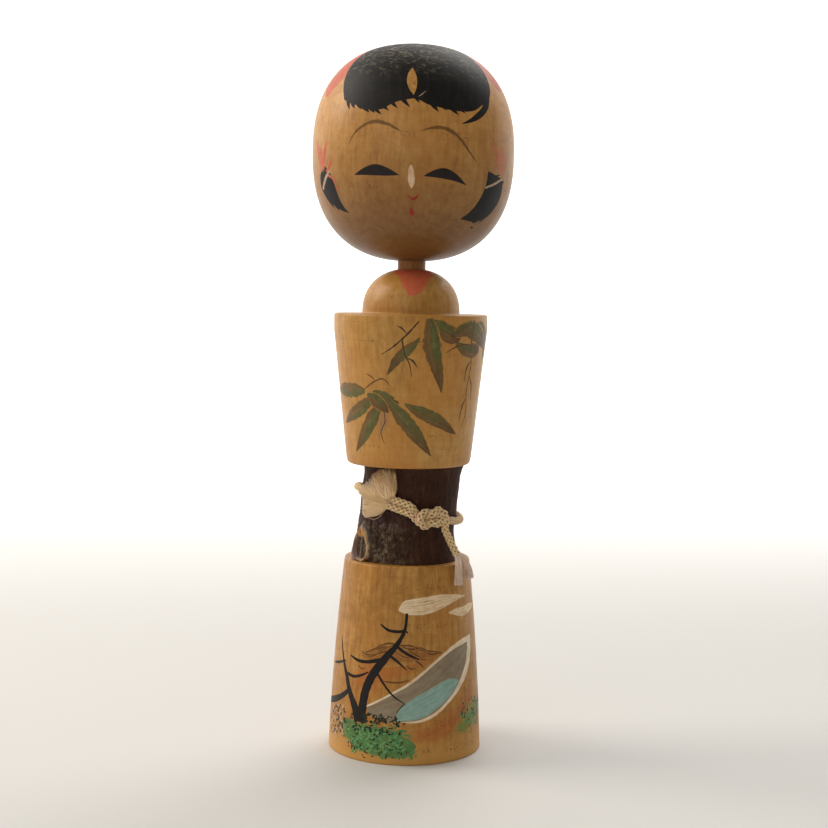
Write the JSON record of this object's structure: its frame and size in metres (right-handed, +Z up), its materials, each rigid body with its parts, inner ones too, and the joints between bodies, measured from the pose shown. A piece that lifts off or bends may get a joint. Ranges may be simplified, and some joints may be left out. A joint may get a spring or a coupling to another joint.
{
  "type": "kokeshi doll",
  "caption": "Turned wooden doll with a large head that turns on its neck peg, a tapered torso, a bark-covered branch waist tied with a braided sash cord, and a tapered skirt.",
  "frame": {"origin": "centre of the foot, on the surface that the doll stands on", "axes": "+Z up along the doll's turned axis, the face looks along -Y, +X is the viewer's right"},
  "size_m": [0.0688, 0.0688, 0.242],
  "materials": {
    "skirt_wood": "clear varnish over painted decoration, satin to gloss",
    "torso_wood": "clear varnish over painted decoration, satin to gloss",
    "head_wood": "clear varnish over painted decoration, gloss",
    "branch_wood": "bare, dry",
    "dowel_wood": "bare, sanded",
    "bark": "rough natural bark, matte",
    "cord": "braided, slight silky sheen",
    "fibre": "combed-out fibre, silky sheen"
  },
  "bodies": {
    "body": {"skirt_block": "skirt_wood", "lower_dowel": "dowel_wood", "waist_branch": "branch_wood", "waist_bark": "bark", "upper_dowel": "dowel_wood", "torso_block": "torso_wood", "neck_peg": "dowel_wood", "obi_loop": "cord", "obi_knot": "cord", "obi_end_left": "cord", "obi_end_right": "cord", "tassel_left": "fibre", "tassel_right": "fibre"},
    "head": {"head": "head_wood"}
  },
  "joints": [
    {"name": "head_turn", "type": "hinge", "parent": "body", "child": "head", "pos_m": [0, 0, 0.169], "axis": [0, 0, 1], "continuous": true}
  ]
}
